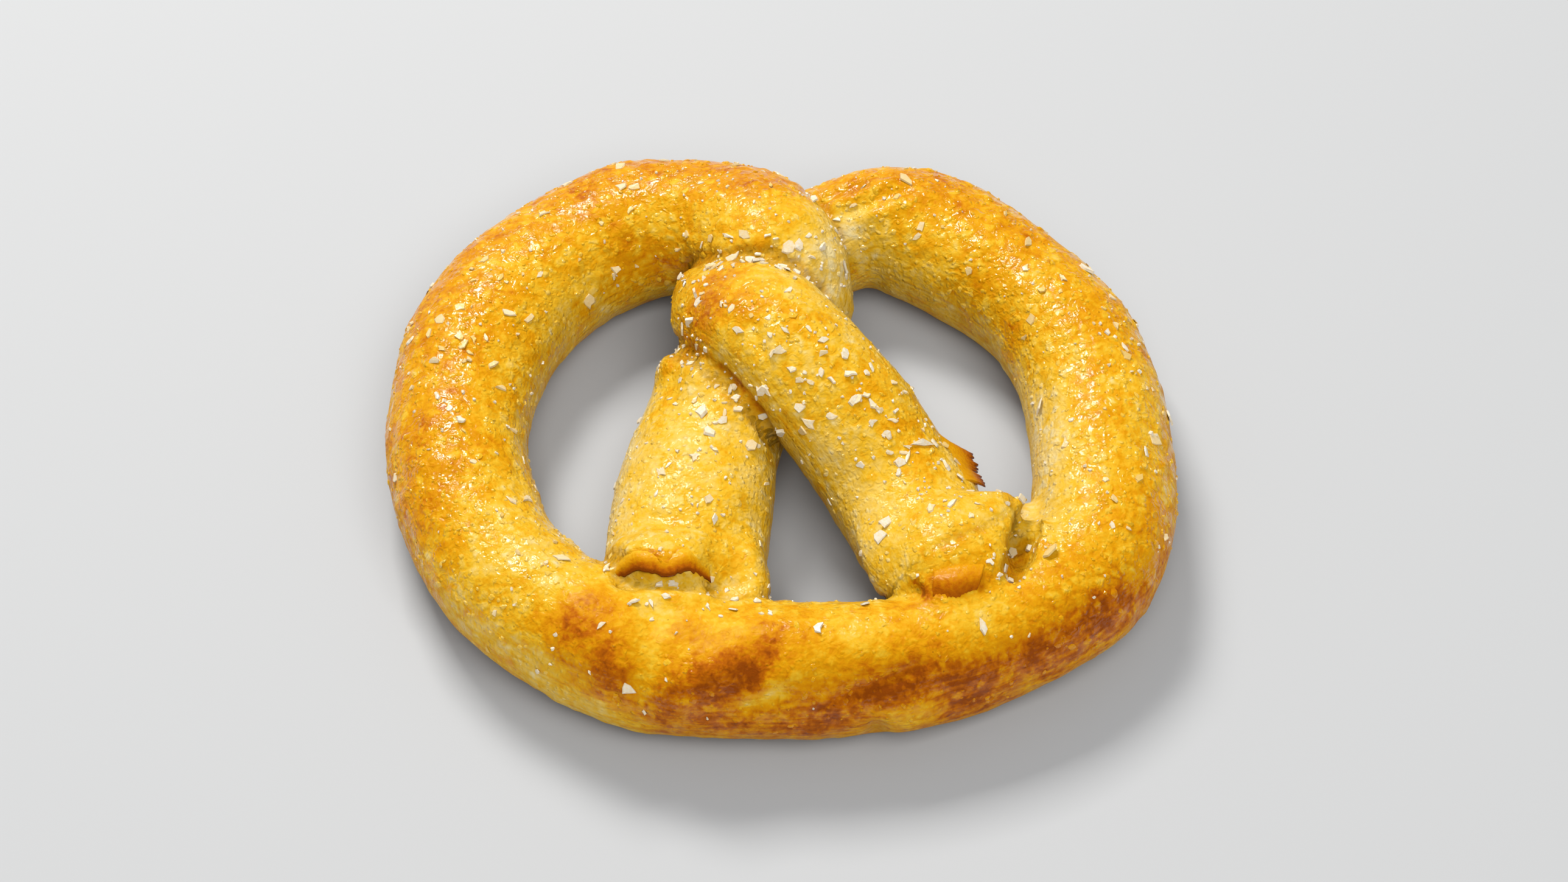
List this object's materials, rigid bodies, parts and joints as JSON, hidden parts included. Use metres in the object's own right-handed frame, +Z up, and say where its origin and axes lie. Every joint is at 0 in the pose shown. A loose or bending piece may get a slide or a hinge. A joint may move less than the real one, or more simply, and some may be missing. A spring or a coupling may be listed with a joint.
{
  "type": "soft pretzel",
  "caption": "Soft pretzel: a rope of baked dough in a ring, its arms crossed twice and pressed onto the belly, glazed and sprinkled with flaky salt.",
  "frame": {"origin": "middle of the outline seen from above, on the plane the pretzel lies on", "axes": "+Z up; -Y towards the belly, where the two ends are pressed on; +X to the right seen from the belly, the longest way across"},
  "size_m": [0.144, 0.128, 0.0348],
  "materials": {
    "crust": "golden baked crust with a glossy egg and butter glaze, paler on the sides, browner on the belly",
    "salt": "flaky white salt, slightly translucent"
  },
  "bodies": {
    "root": {"pretzel": "crust"}
  },
  "joints": []
}
